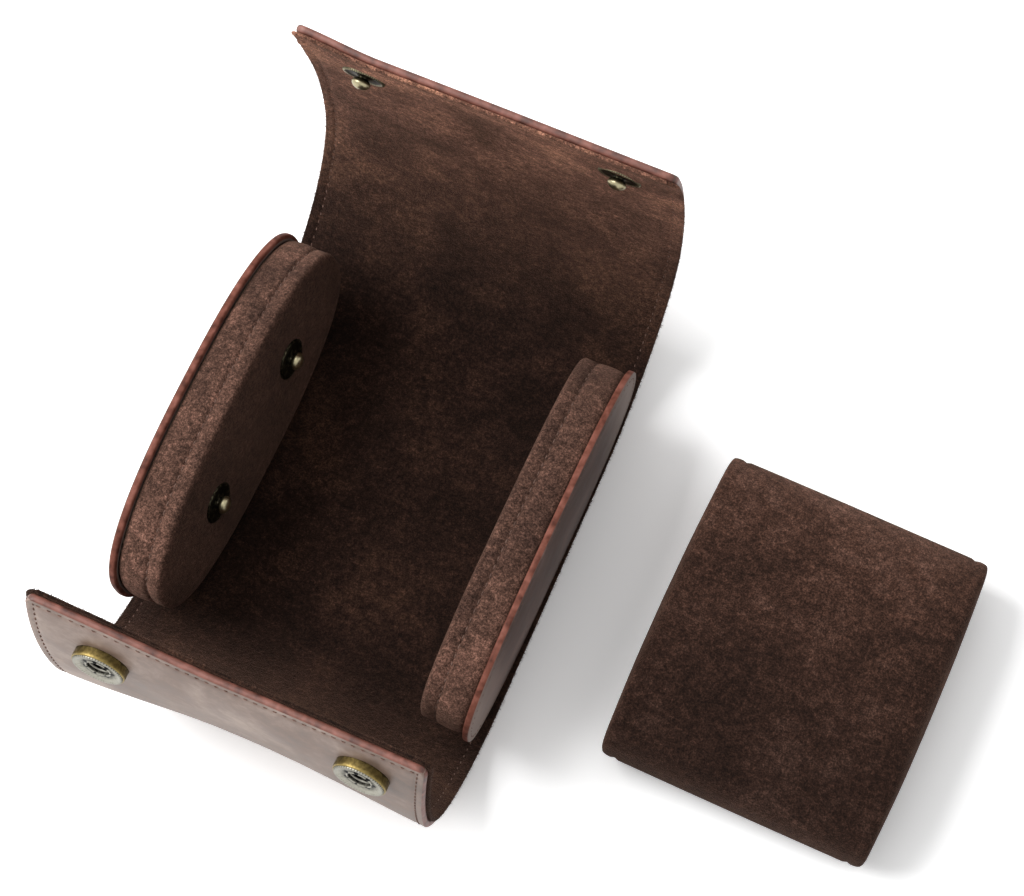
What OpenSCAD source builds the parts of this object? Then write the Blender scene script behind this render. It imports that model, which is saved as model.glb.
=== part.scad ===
// Travel case for one wristwatch: a leather strip lined with suede wraps round two padded end caps
// and closes with two press studs. A padded cushion for the watch lifts out and clips to one cap.
// Origin: centre of the flat underside. +X runs from the studded cap to the plain cap,
// +Y towards the lid, +Z up. Millimetres. The case is drawn open, with the cushion set down beside it.

/* [Wrap] */
// Width of the leather strip, along X
wrap_w = 89; // [88:1:110]
// Thickness of the leather
leather_t = 1.8; // [1.2:0.1:2.4]
// Thickness of the suede lining
lining_t = 0.8; // [0.5:0.1:1.2]
// Slit left between two stretches of the strip where it folds
fold_gap = 0.3; // [0.2:0.05:0.5]

/* [Lid] */
// Flat length of the strip from the centre line to the foot of the lid
lid_foot = 27; // [25:0.5:34]
// Radius of the bend that lifts the lid
lid_r = 47.5; // [40:0.5:54]
// Angle of that bend
lid_bend = 90; // [80:1:100]
// Radius of the gentle curl near the edge of the lid
lid_curl_r = 155; // [100:5:220]
// Angle of the gentle curl
lid_curl = 21.5; // [12:0.5:30]
// Length from the centre line to the upper fold of the lid
lid_fold = 63.5; // [56:0.5:72]

/* [Front flap] */
// Flat length of the strip from the centre line to the foot of the flap
flap_foot = 31.5; // [26:0.5:36]
// Radius of the bend that lifts the flap
flap_r = 41.5; // [36:0.5:50]
// Angle of that bend
flap_bend = 87.5; // [80:0.5:95]
// Radius of the gentle curl near the edge of the flap
flap_curl_r = 140; // [90:5:200]
// Angle of the gentle curl
flap_curl = 16; // [8:0.5:22]
// Length from the centre line to the upper fold of the flap
flap_fold = 72.5; // [66:0.5:80]

/* [End caps] */
// Length of a cap, along Y
cap_len = 95.6; // [84:0.2:104]
// Height of a cap before its foot is cut flat
cap_h = 41.6; // [36:0.2:50]
// Squareness of the cap's outline, where 2 is an ellipse
cap_power = 2.5; // [2:0.1:4]
// Depth that is cut from the cap's foot to seat it
cap_seat = 0.8; // [0.4:0.1:1.5]
// Distance from the strip's left edge in to the studded cap's outer face, at its foot
cap_inset_left = 2.9; // [0.5:0.1:4]
// Distance from the strip's right edge in to the plain cap's outer face, at its foot
cap_inset_right = 0.1; // [0:0.1:4]
// Outward lean of the studded cap
cap_lean_left = 9.2; // [0:0.2:10]
// Outward lean of the plain cap
cap_lean_right = 0.2; // [0:0.2:10]
// Turn of both caps on the floor of the case, seen from above
cap_turn = -0.9; // [-2:0.1:2]
// Depth of the padded drum behind the leather
drum_depth = 11.2; // [6:0.2:12]
// Step from the edge of the leather down to the drum
drum_step = 1.2; // [0.8:0.1:2]
// Thickness of the stiffener board in a cap
board_t = 1.2; // [0.8:0.1:2]
// Thickness of the suede on the caps and the cushion
suede_t = 0.8; // [0.5:0.1:1.2]

/* [Press studs] */
// Distance from the strip's side edge to a stud or a socket
snap_side = 14; // [10:0.5:20]
// Distance from the lid's edge to its studs
stud_inset = 18.5; // [12:0.1:24]
// Distance from the flap's edge to its sockets
socket_inset = 13.4; // [12:0.1:18]
// Diameter of a stud's head
ball_d = 4.4; // [4:0.1:5]
// Diameter of a stud's flange
flange_d = 10; // [9:0.5:12]
// Thickness of a stud's flange
flange_t = 0.5; // [0.4:0.1:0.8]
// Height of a stud above its flange
stud_h = 2.7; // [2.4:0.1:3.4]
// Height of the rounded head of a stud
ball_high = 2.4; // [1.6:0.1:2.6]
// Diameter of a socket and of a stud's outer cap
snap_d = 12.5; // [11:0.5:15]
// Height of a socket above the leather
socket_h = 2.6; // [2:0.1:2.8]
// Clearance of a stud in its socket
snap_clear = 0.35; // [0.2:0.05:0.5]
// Diameter of the rivet posts
post_d = 3; // [2:0.2:4]
// Distance between the two studs on the cap
cap_snap_gap = 39; // [30:1:46]

/* [Cushion] */
// How much wider the soft cushion is than the room between the caps at their feet
cushion_squeeze = 4.6; // [2:0.1:9]
// Length of the cushion along the watch strap, along Y
cushion_len = 77; // [60:1:84]
// Thickness of the cushion
cushion_h = 24; // [18:1:30]
// Squareness of the cushion's section
cushion_power = 3; // [2.4:0.1:5]
// Gap between the case and the cushion set down beside it
cushion_away = 27.9; // [6:0.1:60]
// Turn of the cushion as it lies
cushion_turn = -1.4; // [-8:0.2:8]

/* [Hidden] */

outline_steps = 72;                 // points round a cap or the cushion
strip_step = 2.6;                   // longest chord along the curved strip
nap = 0.4;                          // depth that a flange beds into the suede
hole_clear = 0.1;                   // clearance of a post in its hole
socket_wall = 1.1;                  // wall of a socket's case
socket_lip = 0.5;                   // how far the case's rim stands over the face
face_t = 0.5;                       // thickness of a socket's pierced face
spring_wire = 0.7;                  // wire of the ring spring in a socket
back_d = 9;                         // diameter of the flange behind a socket
back_t = 0.5;                       // thickness of that flange
cap_dome = 1.1;                     // rise of a stud's outer cap above the leather
cushion_seat = 0.6;                 // flat that the cushion rests on
end_socket_d = 10;                  // diameter of a socket in the cushion's end
end_socket_out = 0.6;               // how far that socket stands out
end_socket_deep = 3.6;              // depth of its cup

wrap_t = leather_t + lining_t;
cap_depth = leather_t + drum_depth; // outer face to inner face
cap_mid = cap_h / 2 - cap_seat;     // middle of a cap above the lining
cap_x_left = wrap_w / 2 - cap_inset_left;   // middle of the case to the studded cap's outer face
cap_x_right = wrap_w / 2 - cap_inset_right; // middle of the case to the plain cap's outer face
snap_gap = wrap_w - 2 * snap_side;  // between the lid's studs, and between the sockets
cushion_w = cap_x_left + cap_x_right - 2 * cap_depth + cushion_squeeze;
lid_len = lid_foot + arc(lid_r, lid_bend) + arc(lid_curl_r, lid_curl);
flap_len = flap_foot + arc(flap_r, flap_bend) + arc(flap_curl_r, flap_curl);
lid = [lid_foot, lid_r, lid_bend, lid_curl_r];
flap = [flap_foot, flap_r, flap_bend, flap_curl_r];
cushion_x = wrap_w / 2 + cushion_away + cushion_w / 2;
cushion_y = 2.2;
cushion_end_z = cushion_h / 2;      // height of the sockets in the cushion's end

suede_brown = [0.26, 0.19, 0.16];
leather_brown = [0.38, 0.31, 0.28];
disc_brown = [0.27, 0.23, 0.22];
old_brass = [0.55, 0.46, 0.26];
nickel = [0.72, 0.71, 0.67];
board_grey = [0.60, 0.56, 0.48];
foam_cream = [0.86, 0.83, 0.74];

// Length of an arc
function arc(r, angle) = r * angle * PI / 180;

// The strip's outer face at length u from the centre line: [y, z, angle of the strip]
function along(s, u) =
    u <= s[0] ? [u, 0, 0] :
    u <= s[0] + arc(s[1], s[2]) ?
        let (t = (u - s[0]) / s[1] * 180 / PI)
        [s[0] + s[1] * sin(t), s[1] * (1 - cos(t)), t] :
    let (t = s[2] + (u - s[0] - arc(s[1], s[2])) / s[3] * 180 / PI)
    [s[0] + s[1] * sin(s[2]) + s[3] * (sin(t) - sin(s[2])),
     s[1] * (1 - cos(s[2])) + s[3] * (cos(s[2]) - cos(t)), t];

// The same point moved inwards by a depth
function inside(p, depth) = [p[0] - depth * sin(p[2]), p[1] + depth * cos(p[2])];

// Section of one stretch of the strip, between two depths
function stretch(s, from, to, outer, inner) =
    let (n = max(1, ceil((to - from) / strip_step)), us = [for (i = [0:n]) from + (to - from) * i / n])
    concat([for (u = us) inside(along(s, u), outer)],
           [for (i = [n:-1:0]) inside(along(s, us[i]), inner)]);

// A rounded oblong: squareness 2 is an ellipse, more is squarer
function rounded(a, b, power) = [
    for (i = [0:outline_steps - 1])
        let (t = 360 * i / outline_steps, c = cos(t), s = sin(t))
        [a * sign(c) * pow(abs(c), 2 / power), b * sign(s) * pow(abs(s), 2 / power)]
];

// A section in the Y-Z plane drawn out along X
module draw_out(from_x, to_x) {
    translate([from_x, 0, 0]) rotate([90, 0, 90]) linear_extrude(to_x - from_x) children();
}

// One stretch of leather or lining, lid side
module strip(s, from, to, outer, inner) {
    draw_out(-wrap_w / 2, wrap_w / 2) polygon(stretch(s, from, to, outer, inner));
}

// Puts a fitting on the strip, at length u and depth, with its +Z pointing inwards
module on_strip(s, u, depth) {
    p = along(s, u);
    q = inside(p, depth);
    for (x = [-snap_gap / 2, snap_gap / 2])
        translate([x, q[0], q[1]]) rotate([p[2], 0, 0]) children();
}

module flip_y() { mirror([0, 1, 0]) children(); }

// A post through the strip, with play round it
module post_hole(s, u) {
    on_strip(s, u, -1) cylinder(d = post_d + 2 * hole_clear, h = wrap_t + 2, $fn = 32);
}

module flange_bed(s, u, d) {
    on_strip(s, u, wrap_t - nap) cylinder(d = d, h = nap + 1, $fn = 48);
}

// ---- end caps: side is 1 for the plain cap at +X, -1 for the studded cap

module place_cap(side) {
    mirror([side < 0 ? 1 : 0, 0, 0])
        translate([side < 0 ? cap_x_left : cap_x_right, 0, wrap_t])
            rotate([0, side < 0 ? cap_lean_left : cap_lean_right, side * cap_turn]) children();
}

// One layer of a cap, from one depth to another, stepped in from the cap's edge
module layer(from, to, step) {
    translate([0, 0, cap_mid])
        draw_out(-to, -from) polygon(rounded(cap_len / 2 - step, cap_h / 2 - step, cap_power));
}

// The foot of a cap is cut flat where it stands on the lining
module seated() {
    difference() {
        children();
        translate([-wrap_w, -cap_len, wrap_t - cap_h]) cube([2 * wrap_w, 2 * cap_len, cap_h]);
    }
}

module cap_leather(side) {
    color(disc_brown) seated() place_cap(side) layer(0, leather_t, 0);
}

module cap_board(side) {
    color(board_grey) seated() place_cap(side)
        difference() {
            layer(leather_t, leather_t + board_t, drum_step + suede_t);
            if (side < 0) cap_posts(post_d + 2 * hole_clear);
        }
}

module cap_foam(side) {
    color(foam_cream) seated() place_cap(side)
        difference() {
            layer(leather_t + board_t, cap_depth - suede_t, drum_step + suede_t);
            if (side < 0) cap_posts(post_d + 2 * hole_clear);
        }
}

module cap_band(side) {
    color(suede_brown) seated() place_cap(side)
        difference() {
            layer(leather_t, cap_depth, drum_step);
            layer(leather_t - 1, cap_depth + 1, drum_step + suede_t);
        }
}

module cap_face(side) {
    color(suede_brown) seated() place_cap(side)
        difference() {
            layer(cap_depth - suede_t, cap_depth, drum_step + suede_t);
            if (side < 0) cap_posts(post_d + 2 * hole_clear);
            if (side < 0) cap_stud_places(cap_depth - nap) cylinder(d = flange_d, h = 2, $fn = 48);
        }
}

// The two stud places on a cap, with +Z pointing into the case
module cap_stud_places(depth) {
    for (y = [-cap_snap_gap / 2, cap_snap_gap / 2])
        translate([-depth, y, cap_mid]) rotate([0, -90, 0]) children();
}

module cap_posts(d) {
    cap_stud_places(leather_t) cylinder(d = d, h = cap_depth - leather_t, $fn = 32);
}

module cap_stud_posts() {
    color(old_brass) place_cap(-1) cap_stud_places(leather_t)
        cylinder(d = post_d, h = drum_depth - nap, $fn = 32);
}

module cap_studs() {
    color(old_brass) place_cap(-1) cap_stud_places(cap_depth - nap) stud();
}

// ---- press studs

// A male stud: a flange, a waist and a head. It sits at z = 0.
module stud() {
    waist = ball_d * 0.31;
    half = ball_high / 2;
    mid = flange_t + stud_h - half;
    rotate_extrude($fn = 48)
        polygon(concat(
            [[0, 0], [flange_d / 2 - 0.2, 0], [flange_d / 2, flange_t / 2], [flange_d / 2 - 0.3, flange_t],
             [waist + 0.7, flange_t], [waist, flange_t + 0.2]],
            [for (i = [0:8]) let (a = -50 + 16.25 * i) [ball_d / 2 * cos(a), mid + half * sin(a)]],
            [[0, flange_t + stud_h]]));
}

// The stud's outer cap: a low dome on the leather, with the post that holds the stud
module stud_cap() {
    rotate_extrude($fn = 48)
        polygon([[0, -cap_dome], [snap_d * 0.22, -cap_dome * 0.96], [snap_d * 0.38, -cap_dome * 0.78],
                 [snap_d * 0.47, -cap_dome * 0.42], [snap_d / 2, 0], [post_d / 2, 0],
                 [post_d / 2, wrap_t - nap], [0, wrap_t - nap]]);
}

// The case of a socket stands on the leather: a ring with a rolled rim
module socket_case() {
    r = snap_d / 2;
    rotate_extrude($fn = 64)
        polygon([[r - socket_wall, 0], [r, 0], [r, -socket_h + 0.5], [r - 0.4, -socket_h],
                 [r - socket_wall + 0.2, -socket_h], [r - socket_wall, -socket_h + socket_lip]]);
}

// The pierced face closes the case round the hole that takes the stud
module socket_face() {
    rotate_extrude($fn = 64)
        translate([ball_d / 2 + snap_clear, -socket_h + socket_lip])
            square([snap_d / 2 - socket_wall - ball_d / 2 - snap_clear, face_t]);
}

// The ring spring lies behind the face and grips the stud's waist
module socket_spring() {
    rotate_extrude($fn = 48)
        translate([ball_d / 2 + snap_clear + spring_wire / 2, -socket_h + socket_lip + face_t + spring_wire / 2])
            circle(d = spring_wire, $fn = 24);
}

// The post and flange behind a socket, through the flap
module socket_back() {
    rotate_extrude($fn = 48)
        polygon([[0, -0.2], [snap_d / 2 - socket_wall, -0.2], [snap_d / 2 - socket_wall, 0], [post_d / 2, 0],
                 [post_d / 2, wrap_t - nap], [back_d / 2, wrap_t - nap], [back_d / 2 - 0.2, wrap_t - nap + back_t],
                 [0, wrap_t - nap + back_t]]);
}

// ---- the wrap

module base_leather() {
    color(leather_brown) {
        draw_out(-wrap_w / 2, wrap_w / 2)
            translate([-flap_foot + fold_gap / 2, 0]) square([flap_foot + lid_foot - fold_gap, leather_t]);
    }
}

module base_lining() {
    color(suede_brown) draw_out(-wrap_w / 2, wrap_w / 2)
        translate([-flap_foot + fold_gap / 2, leather_t]) square([flap_foot + lid_foot - fold_gap, lining_t]);
}

module lid_leather_lower() {
    color(leather_brown) strip(lid, lid_foot + fold_gap / 2, lid_fold - fold_gap / 2, 0, leather_t);
}

module lid_lining_lower() {
    color(suede_brown) strip(lid, lid_foot + fold_gap / 2, lid_fold - fold_gap / 2, leather_t, wrap_t);
}

module lid_leather_upper() {
    color(leather_brown) difference() {
        strip(lid, lid_fold + fold_gap / 2, lid_len, 0, leather_t);
        post_hole(lid, lid_len - stud_inset);
    }
}

module lid_lining_upper() {
    color(suede_brown) difference() {
        strip(lid, lid_fold + fold_gap / 2, lid_len, leather_t, wrap_t);
        post_hole(lid, lid_len - stud_inset);
        flange_bed(lid, lid_len - stud_inset, flange_d);
    }
}

module lid_studs() {
    color(old_brass) on_strip(lid, lid_len - stud_inset, wrap_t - nap) stud();
}

module lid_stud_caps() {
    color(old_brass) on_strip(lid, lid_len - stud_inset, 0) stud_cap();
}

module flap_leather_lower() {
    color(leather_brown) flip_y() strip(flap, flap_foot + fold_gap / 2, flap_fold - fold_gap / 2, 0, leather_t);
}

module flap_lining_lower() {
    color(suede_brown) flip_y()
        strip(flap, flap_foot + fold_gap / 2, flap_fold - fold_gap / 2, leather_t, wrap_t);
}

module flap_leather_upper() {
    color(leather_brown) flip_y() difference() {
        strip(flap, flap_fold + fold_gap / 2, flap_len, 0, leather_t);
        post_hole(flap, flap_len - socket_inset);
    }
}

module flap_lining_upper() {
    color(suede_brown) flip_y() difference() {
        strip(flap, flap_fold + fold_gap / 2, flap_len, leather_t, wrap_t);
        post_hole(flap, flap_len - socket_inset);
        flange_bed(flap, flap_len - socket_inset, back_d);
    }
}

module socket_cases() {
    color(old_brass) flip_y() on_strip(flap, flap_len - socket_inset, 0) socket_case();
}

module socket_faces() {
    color(nickel) flip_y() on_strip(flap, flap_len - socket_inset, 0) socket_face();
}

module socket_springs() {
    color(nickel) flip_y() on_strip(flap, flap_len - socket_inset, 0) socket_spring();
}

module socket_backs() {
    color(old_brass) flip_y() on_strip(flap, flap_len - socket_inset, 0) socket_back();
}

// ---- the cushion

module place_cushion() {
    translate([cushion_x, cushion_y, 0]) rotate([0, 0, cushion_turn]) children();
}

// The pillow's section, with its underside flattened where it rests
function pillow(step) = [
    for (p = rounded(cushion_len / 2 - step, cushion_h / 2 - step, cushion_power))
        [p[0], max(p[1] + cushion_h / 2 - cushion_seat, step)]
];

module pillow_block(step) {
    draw_out(-cushion_w / 2 + step, cushion_w / 2 - step) polygon(pillow(step));
}

// The two socket places in the cushion's end, with +Z pointing out of it
module end_places() {
    for (y = [-cap_snap_gap / 2, cap_snap_gap / 2])
        translate([-cushion_w / 2, y, cushion_end_z]) rotate([0, -90, 0]) children();
}

module cushion_cover() {
    color(suede_brown) place_cushion() difference() {
        pillow_block(0);
        pillow_block(suede_t);
        end_places() translate([0, 0, -suede_t - 1])
            cylinder(d = end_socket_d - 2 * socket_wall, h = suede_t + 2, $fn = 48);
    }
}

module cushion_foam() {
    color(foam_cream) place_cushion() difference() {
        pillow_block(suede_t);
        end_places() translate([0, 0, -end_socket_deep - back_t])
            cylinder(d = end_socket_d, h = end_socket_deep + back_t, $fn = 48);
    }
}

// A socket in the cushion's end: a rim outside the suede and a cup through it
module cushion_sockets() {
    r = end_socket_d / 2;
    color(old_brass) place_cushion() end_places() rotate_extrude($fn = 48)
        polygon([[ball_d / 2 + snap_clear, end_socket_out], [r - 0.3, end_socket_out], [r, end_socket_out / 2], [r, 0],
                 [r - socket_wall, 0], [r - socket_wall, -end_socket_deep], [ball_d / 2 + snap_clear, -end_socket_deep]]);
}

module cushion_socket_backs() {
    color(old_brass) place_cushion() end_places() translate([0, 0, -end_socket_deep - back_t])
        cylinder(d = end_socket_d - 2 * socket_wall, h = back_t, $fn = 48);
}

base_leather();
base_lining();
cap_leather(-1);  // cap_leather_left
cap_leather(1);  // cap_leather_right
cap_board(-1);  // cap_board_left
cap_board(1);  // cap_board_right
cap_foam(-1);  // cap_foam_left
cap_foam(1);  // cap_foam_right
cap_band(-1);  // cap_band_left
cap_band(1);  // cap_band_right
cap_face(-1);  // cap_face_left
cap_face(1);  // cap_face_right
cap_studs();
cap_stud_posts();
lid_leather_lower();
lid_lining_lower();
lid_leather_upper();
lid_lining_upper();
lid_studs();
lid_stud_caps();
flap_leather_lower();
flap_lining_lower();
flap_leather_upper();
flap_lining_upper();
socket_cases();
socket_faces();
socket_springs();
socket_backs();
cushion_cover();
cushion_foam();
cushion_sockets();
cushion_socket_backs();
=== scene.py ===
# A travel case for one wristwatch, shown open with its cushion lifted out.
# Lengths in the sections are millimetres, as on a leather worker's pattern. Meshes and lights are in metres.
import math

import bpy
import numpy as np
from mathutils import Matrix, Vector


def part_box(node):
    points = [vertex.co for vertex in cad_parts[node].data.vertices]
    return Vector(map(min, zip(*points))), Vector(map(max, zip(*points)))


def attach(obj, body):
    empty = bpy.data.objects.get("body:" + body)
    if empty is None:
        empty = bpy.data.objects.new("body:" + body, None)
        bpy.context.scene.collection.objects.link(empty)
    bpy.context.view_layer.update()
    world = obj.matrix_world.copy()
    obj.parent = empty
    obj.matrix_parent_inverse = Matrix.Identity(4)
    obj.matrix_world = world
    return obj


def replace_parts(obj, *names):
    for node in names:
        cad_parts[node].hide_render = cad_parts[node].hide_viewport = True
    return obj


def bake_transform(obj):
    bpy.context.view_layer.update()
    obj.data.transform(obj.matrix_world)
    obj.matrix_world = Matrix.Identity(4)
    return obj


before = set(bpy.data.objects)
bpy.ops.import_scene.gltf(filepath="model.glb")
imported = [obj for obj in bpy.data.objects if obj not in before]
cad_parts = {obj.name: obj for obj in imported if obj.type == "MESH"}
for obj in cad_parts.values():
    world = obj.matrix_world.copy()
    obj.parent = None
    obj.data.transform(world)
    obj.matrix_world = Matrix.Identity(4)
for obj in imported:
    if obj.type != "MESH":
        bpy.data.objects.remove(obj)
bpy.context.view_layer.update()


# -------------------------------- the wrap: its pattern
# One strip of leather with a suede lining makes the front flap, the base, the back and the lid. The pattern
# is flat: x across, s along (flap below 0, lid above), and depth in from the outer face. fold_up() bends it
# into the open case, as uneven as a worn strip is.
WRAP_W = 89.0
LEATHER_T = 1.8
LINING_T = 0.8
WRAP_T = LEATHER_T + LINING_T
LID_FOOT = 27.0
LID_R = 47.5
LID_BEND = math.radians(90)
LID_CURL_R = 155.0
LID_CURL = math.radians(21.5)
LID_FOLD = 63.5
LID_LEN = LID_FOOT + LID_R * LID_BEND + LID_CURL_R * LID_CURL
FLAP_FOOT = 31.5
FLAP_R = 41.5
FLAP_BEND = math.radians(87.5)
FLAP_CURL_R = 140.0
FLAP_CURL = math.radians(16)
FLAP_FOLD = 72.5
FLAP_LEN = FLAP_FOOT + FLAP_R * FLAP_BEND + FLAP_CURL_R * FLAP_CURL
CORNER_R = 2.5
WAVE_HIGH = 0.45
FLAP_PULL = 3.3
FLAP_STRETCH = 3.0
FLAP_FLARE = 3.0
LID_CORNER_OUT = 1.2
RIPPLE_SINES = 7
RIPPLE_PEAK = 3.2


def smooth_step(value, low, high):
    share = np.clip((value - low) / (high - low), 0, 1)
    return share * share * (3 - 2 * share)


def ripple(a, b, seed):
    """A soft irregular wave, about -1 to 1, the same on each run. a and b are places in two directions, over
    the size of the waves."""
    rng = np.random.default_rng(seed)
    total = np.zeros(np.broadcast(a, b).shape)
    for _ in range(RIPPLE_SINES):
        angle, turn, size = rng.uniform(0, 2 * math.pi), rng.uniform(0, 2 * math.pi), rng.uniform(0.6, 1.7)
        total = total + np.sin((a * math.cos(angle) + b * math.sin(angle)) * size + turn)
    return total / RIPPLE_PEAK


def unevenness(x, s):
    """How far the leather strays in from its drawn shape: the free ends wave, the flap's belly is drawn in,
    less so beside the left end cap, and one corner of the lid stands out. Each smooth_step runs between two
    places on the pattern."""
    free = smooth_step(np.abs(s), 45, 110)
    across = smooth_step(-x, -60, 0) * (1 - 0.75 * smooth_step(-x, 4, 45))
    belly = across * smooth_step(-s, 40, 78) * (1 - 0.85 * smooth_step(-s, 84, FLAP_LEN))
    corner = smooth_step(-x, 24, 45) * smooth_step(s, LID_LEN - 22, LID_LEN)
    return WAVE_HIGH * free * ripple(x / 30, s / 26, 5) + FLAP_PULL * belly - LID_CORNER_OUT * corner


def drawn_out(x, s):
    """How far the flap's worn corner is drawn out, along the strip and sideways."""
    longer = FLAP_STRETCH * smooth_step(-x, 0, 44) * smooth_step(-s, 60, FLAP_LEN)
    wider = FLAP_FLARE * smooth_step(-x, 20, 44) * smooth_step(-s, 55, FLAP_LEN)
    return longer, wider


def fold_up(flat):
    """From the flat pattern, as (x, s, depth), to the open case."""
    x, s, depth = np.asarray(flat, float).T
    lid = s >= 0
    longer, wider = drawn_out(x, s)
    u = np.abs(s) + longer
    foot = np.where(lid, LID_FOOT, FLAP_FOOT)
    r1 = np.where(lid, LID_R, FLAP_R)
    bend = np.where(lid, LID_BEND, FLAP_BEND)
    r2 = np.where(lid, LID_CURL_R, FLAP_CURL_R)
    first = np.clip((u - foot) / r1, 0, bend)
    second = np.maximum(u - foot - r1 * bend, 0) / r2
    angle = first + second
    depth = depth + unevenness(x, s)
    y = np.minimum(u, foot) + r1 * np.sin(first) + r2 * (np.sin(bend + second) - np.sin(bend))
    z = r1 * (1 - np.cos(first)) + r2 * (np.cos(bend) - np.cos(bend + second))
    y = y - depth * np.sin(angle)
    z = z + depth * np.cos(angle)
    x = x - wider
    return np.column_stack([x, np.where(lid, y, -y), z])


def border(x, s):
    """Distance in from the strip's edge."""
    end = np.where(s >= 0, LID_LEN - s, FLAP_LEN + s)
    return np.minimum(WRAP_W / 2 - np.abs(x), end)


def half_width(s):
    """Half of the strip's width, less where its corners are rounded."""
    end = min(LID_LEN - s, FLAP_LEN + s)
    if end >= CORNER_R:
        return WRAP_W / 2
    return WRAP_W / 2 - CORNER_R + math.sqrt(max(0.0, CORNER_R ** 2 - (CORNER_R - end) ** 2))


# -------------------------------- the wrap: its leather
# Pull-up cowhide, full-grain and waxed, 1.8 mm thick, cut to the pattern. It is dyed dark brown and goes pale
# in clouds where it rubs. The flap is painted paler than the rest of the strip, a painted sheen of the light
# on it.
# Its cut edges are stained terracotta and burnished round.
MM = 0.001
SEW_IN = 2.0
GROOVE_WIDE = 0.55
GROOVE_DEEP = 0.22
EDGE_R = 0.6
EDGE_THIN = 0.06
STATION_STEP = 1.1
END_ZONE = 6.2
SIDE_ZONE = 9.5
INNER_COLUMNS = 25


def colour(code):
    """An sRGB colour such as "#4a342b", as the linear colour that shaders take."""
    values = [int(code[i:i + 2], 16) / 255 for i in (1, 3, 5)]
    return tuple(v / 12.92 if v <= 0.04045 else ((v + 0.055) / 1.055) ** 2.4 for v in values) + (1.0,)


def node(tree, kind, inputs=None, output=0, stops=None, **settings):
    """A new shader node's output. Each input is a constant, or another node's output to link. A colour ramp
    takes its stops as (position, colour code) or (position, grey)."""
    new = tree.nodes.new("ShaderNode" + kind)
    for name, value in settings.items():
        setattr(new, name, value)
    for name, value in (inputs or {}).items():
        if isinstance(value, bpy.types.NodeSocket):
            tree.links.new(value, new.inputs[name])
        else:
            new.inputs[name].default_value = value
    if stops:
        points = new.color_ramp.elements
        while len(points) < len(stops):
            points.new(0.5)
        for point, (position, shade) in zip(points, stops):
            point.position = position
            point.color = colour(shade) if isinstance(shade, str) else (shade, shade, shade, 1)
    return new.outputs[output] if len(new.outputs) else None


def new_material(name):
    material = bpy.data.materials.new(name)
    material.use_nodes = True
    material.node_tree.nodes.clear()
    return material, material.node_tree


def rest_place(tree):
    """The point's place on the flat or undisturbed piece, in millimetres, from the attribute "rest". It keeps
    a pattern on the leather when the leather bends."""
    place = node(tree, "Attribute", output="Vector", attribute_name="rest")
    return node(tree, "VectorMath", {0: place, 1: (1000, 1000, 1000)}, operation="MULTIPLY")


def weighed(tree, first, first_share, second, second_share):
    """The sum of two values, each times its share."""
    shares = [node(tree, "Math", {0: value, 1: share}, operation="MULTIPLY")
              for value, share in ((first, first_share), (second, second_share))]
    return node(tree, "Math", {0: shares[0], 1: shares[1]}, operation="ADD")


TIMES = {"output": 2, "data_type": "RGBA", "blend_type": "MULTIPLY"}
BETWEEN = {"output": 2, "data_type": "RGBA", "blend_type": "MIX"}
EDGE_STAIN = [(0.3, "#482820"), (0.5, "#704337"), (0.72, "#8b594d")]
# The pale tone and the largest share of the painted sheen at a disc's two ends.
PAINTED_SHEEN_COLOUR = "#a09087"
PAINTED_SHEEN_SHARE = 0.45


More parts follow.
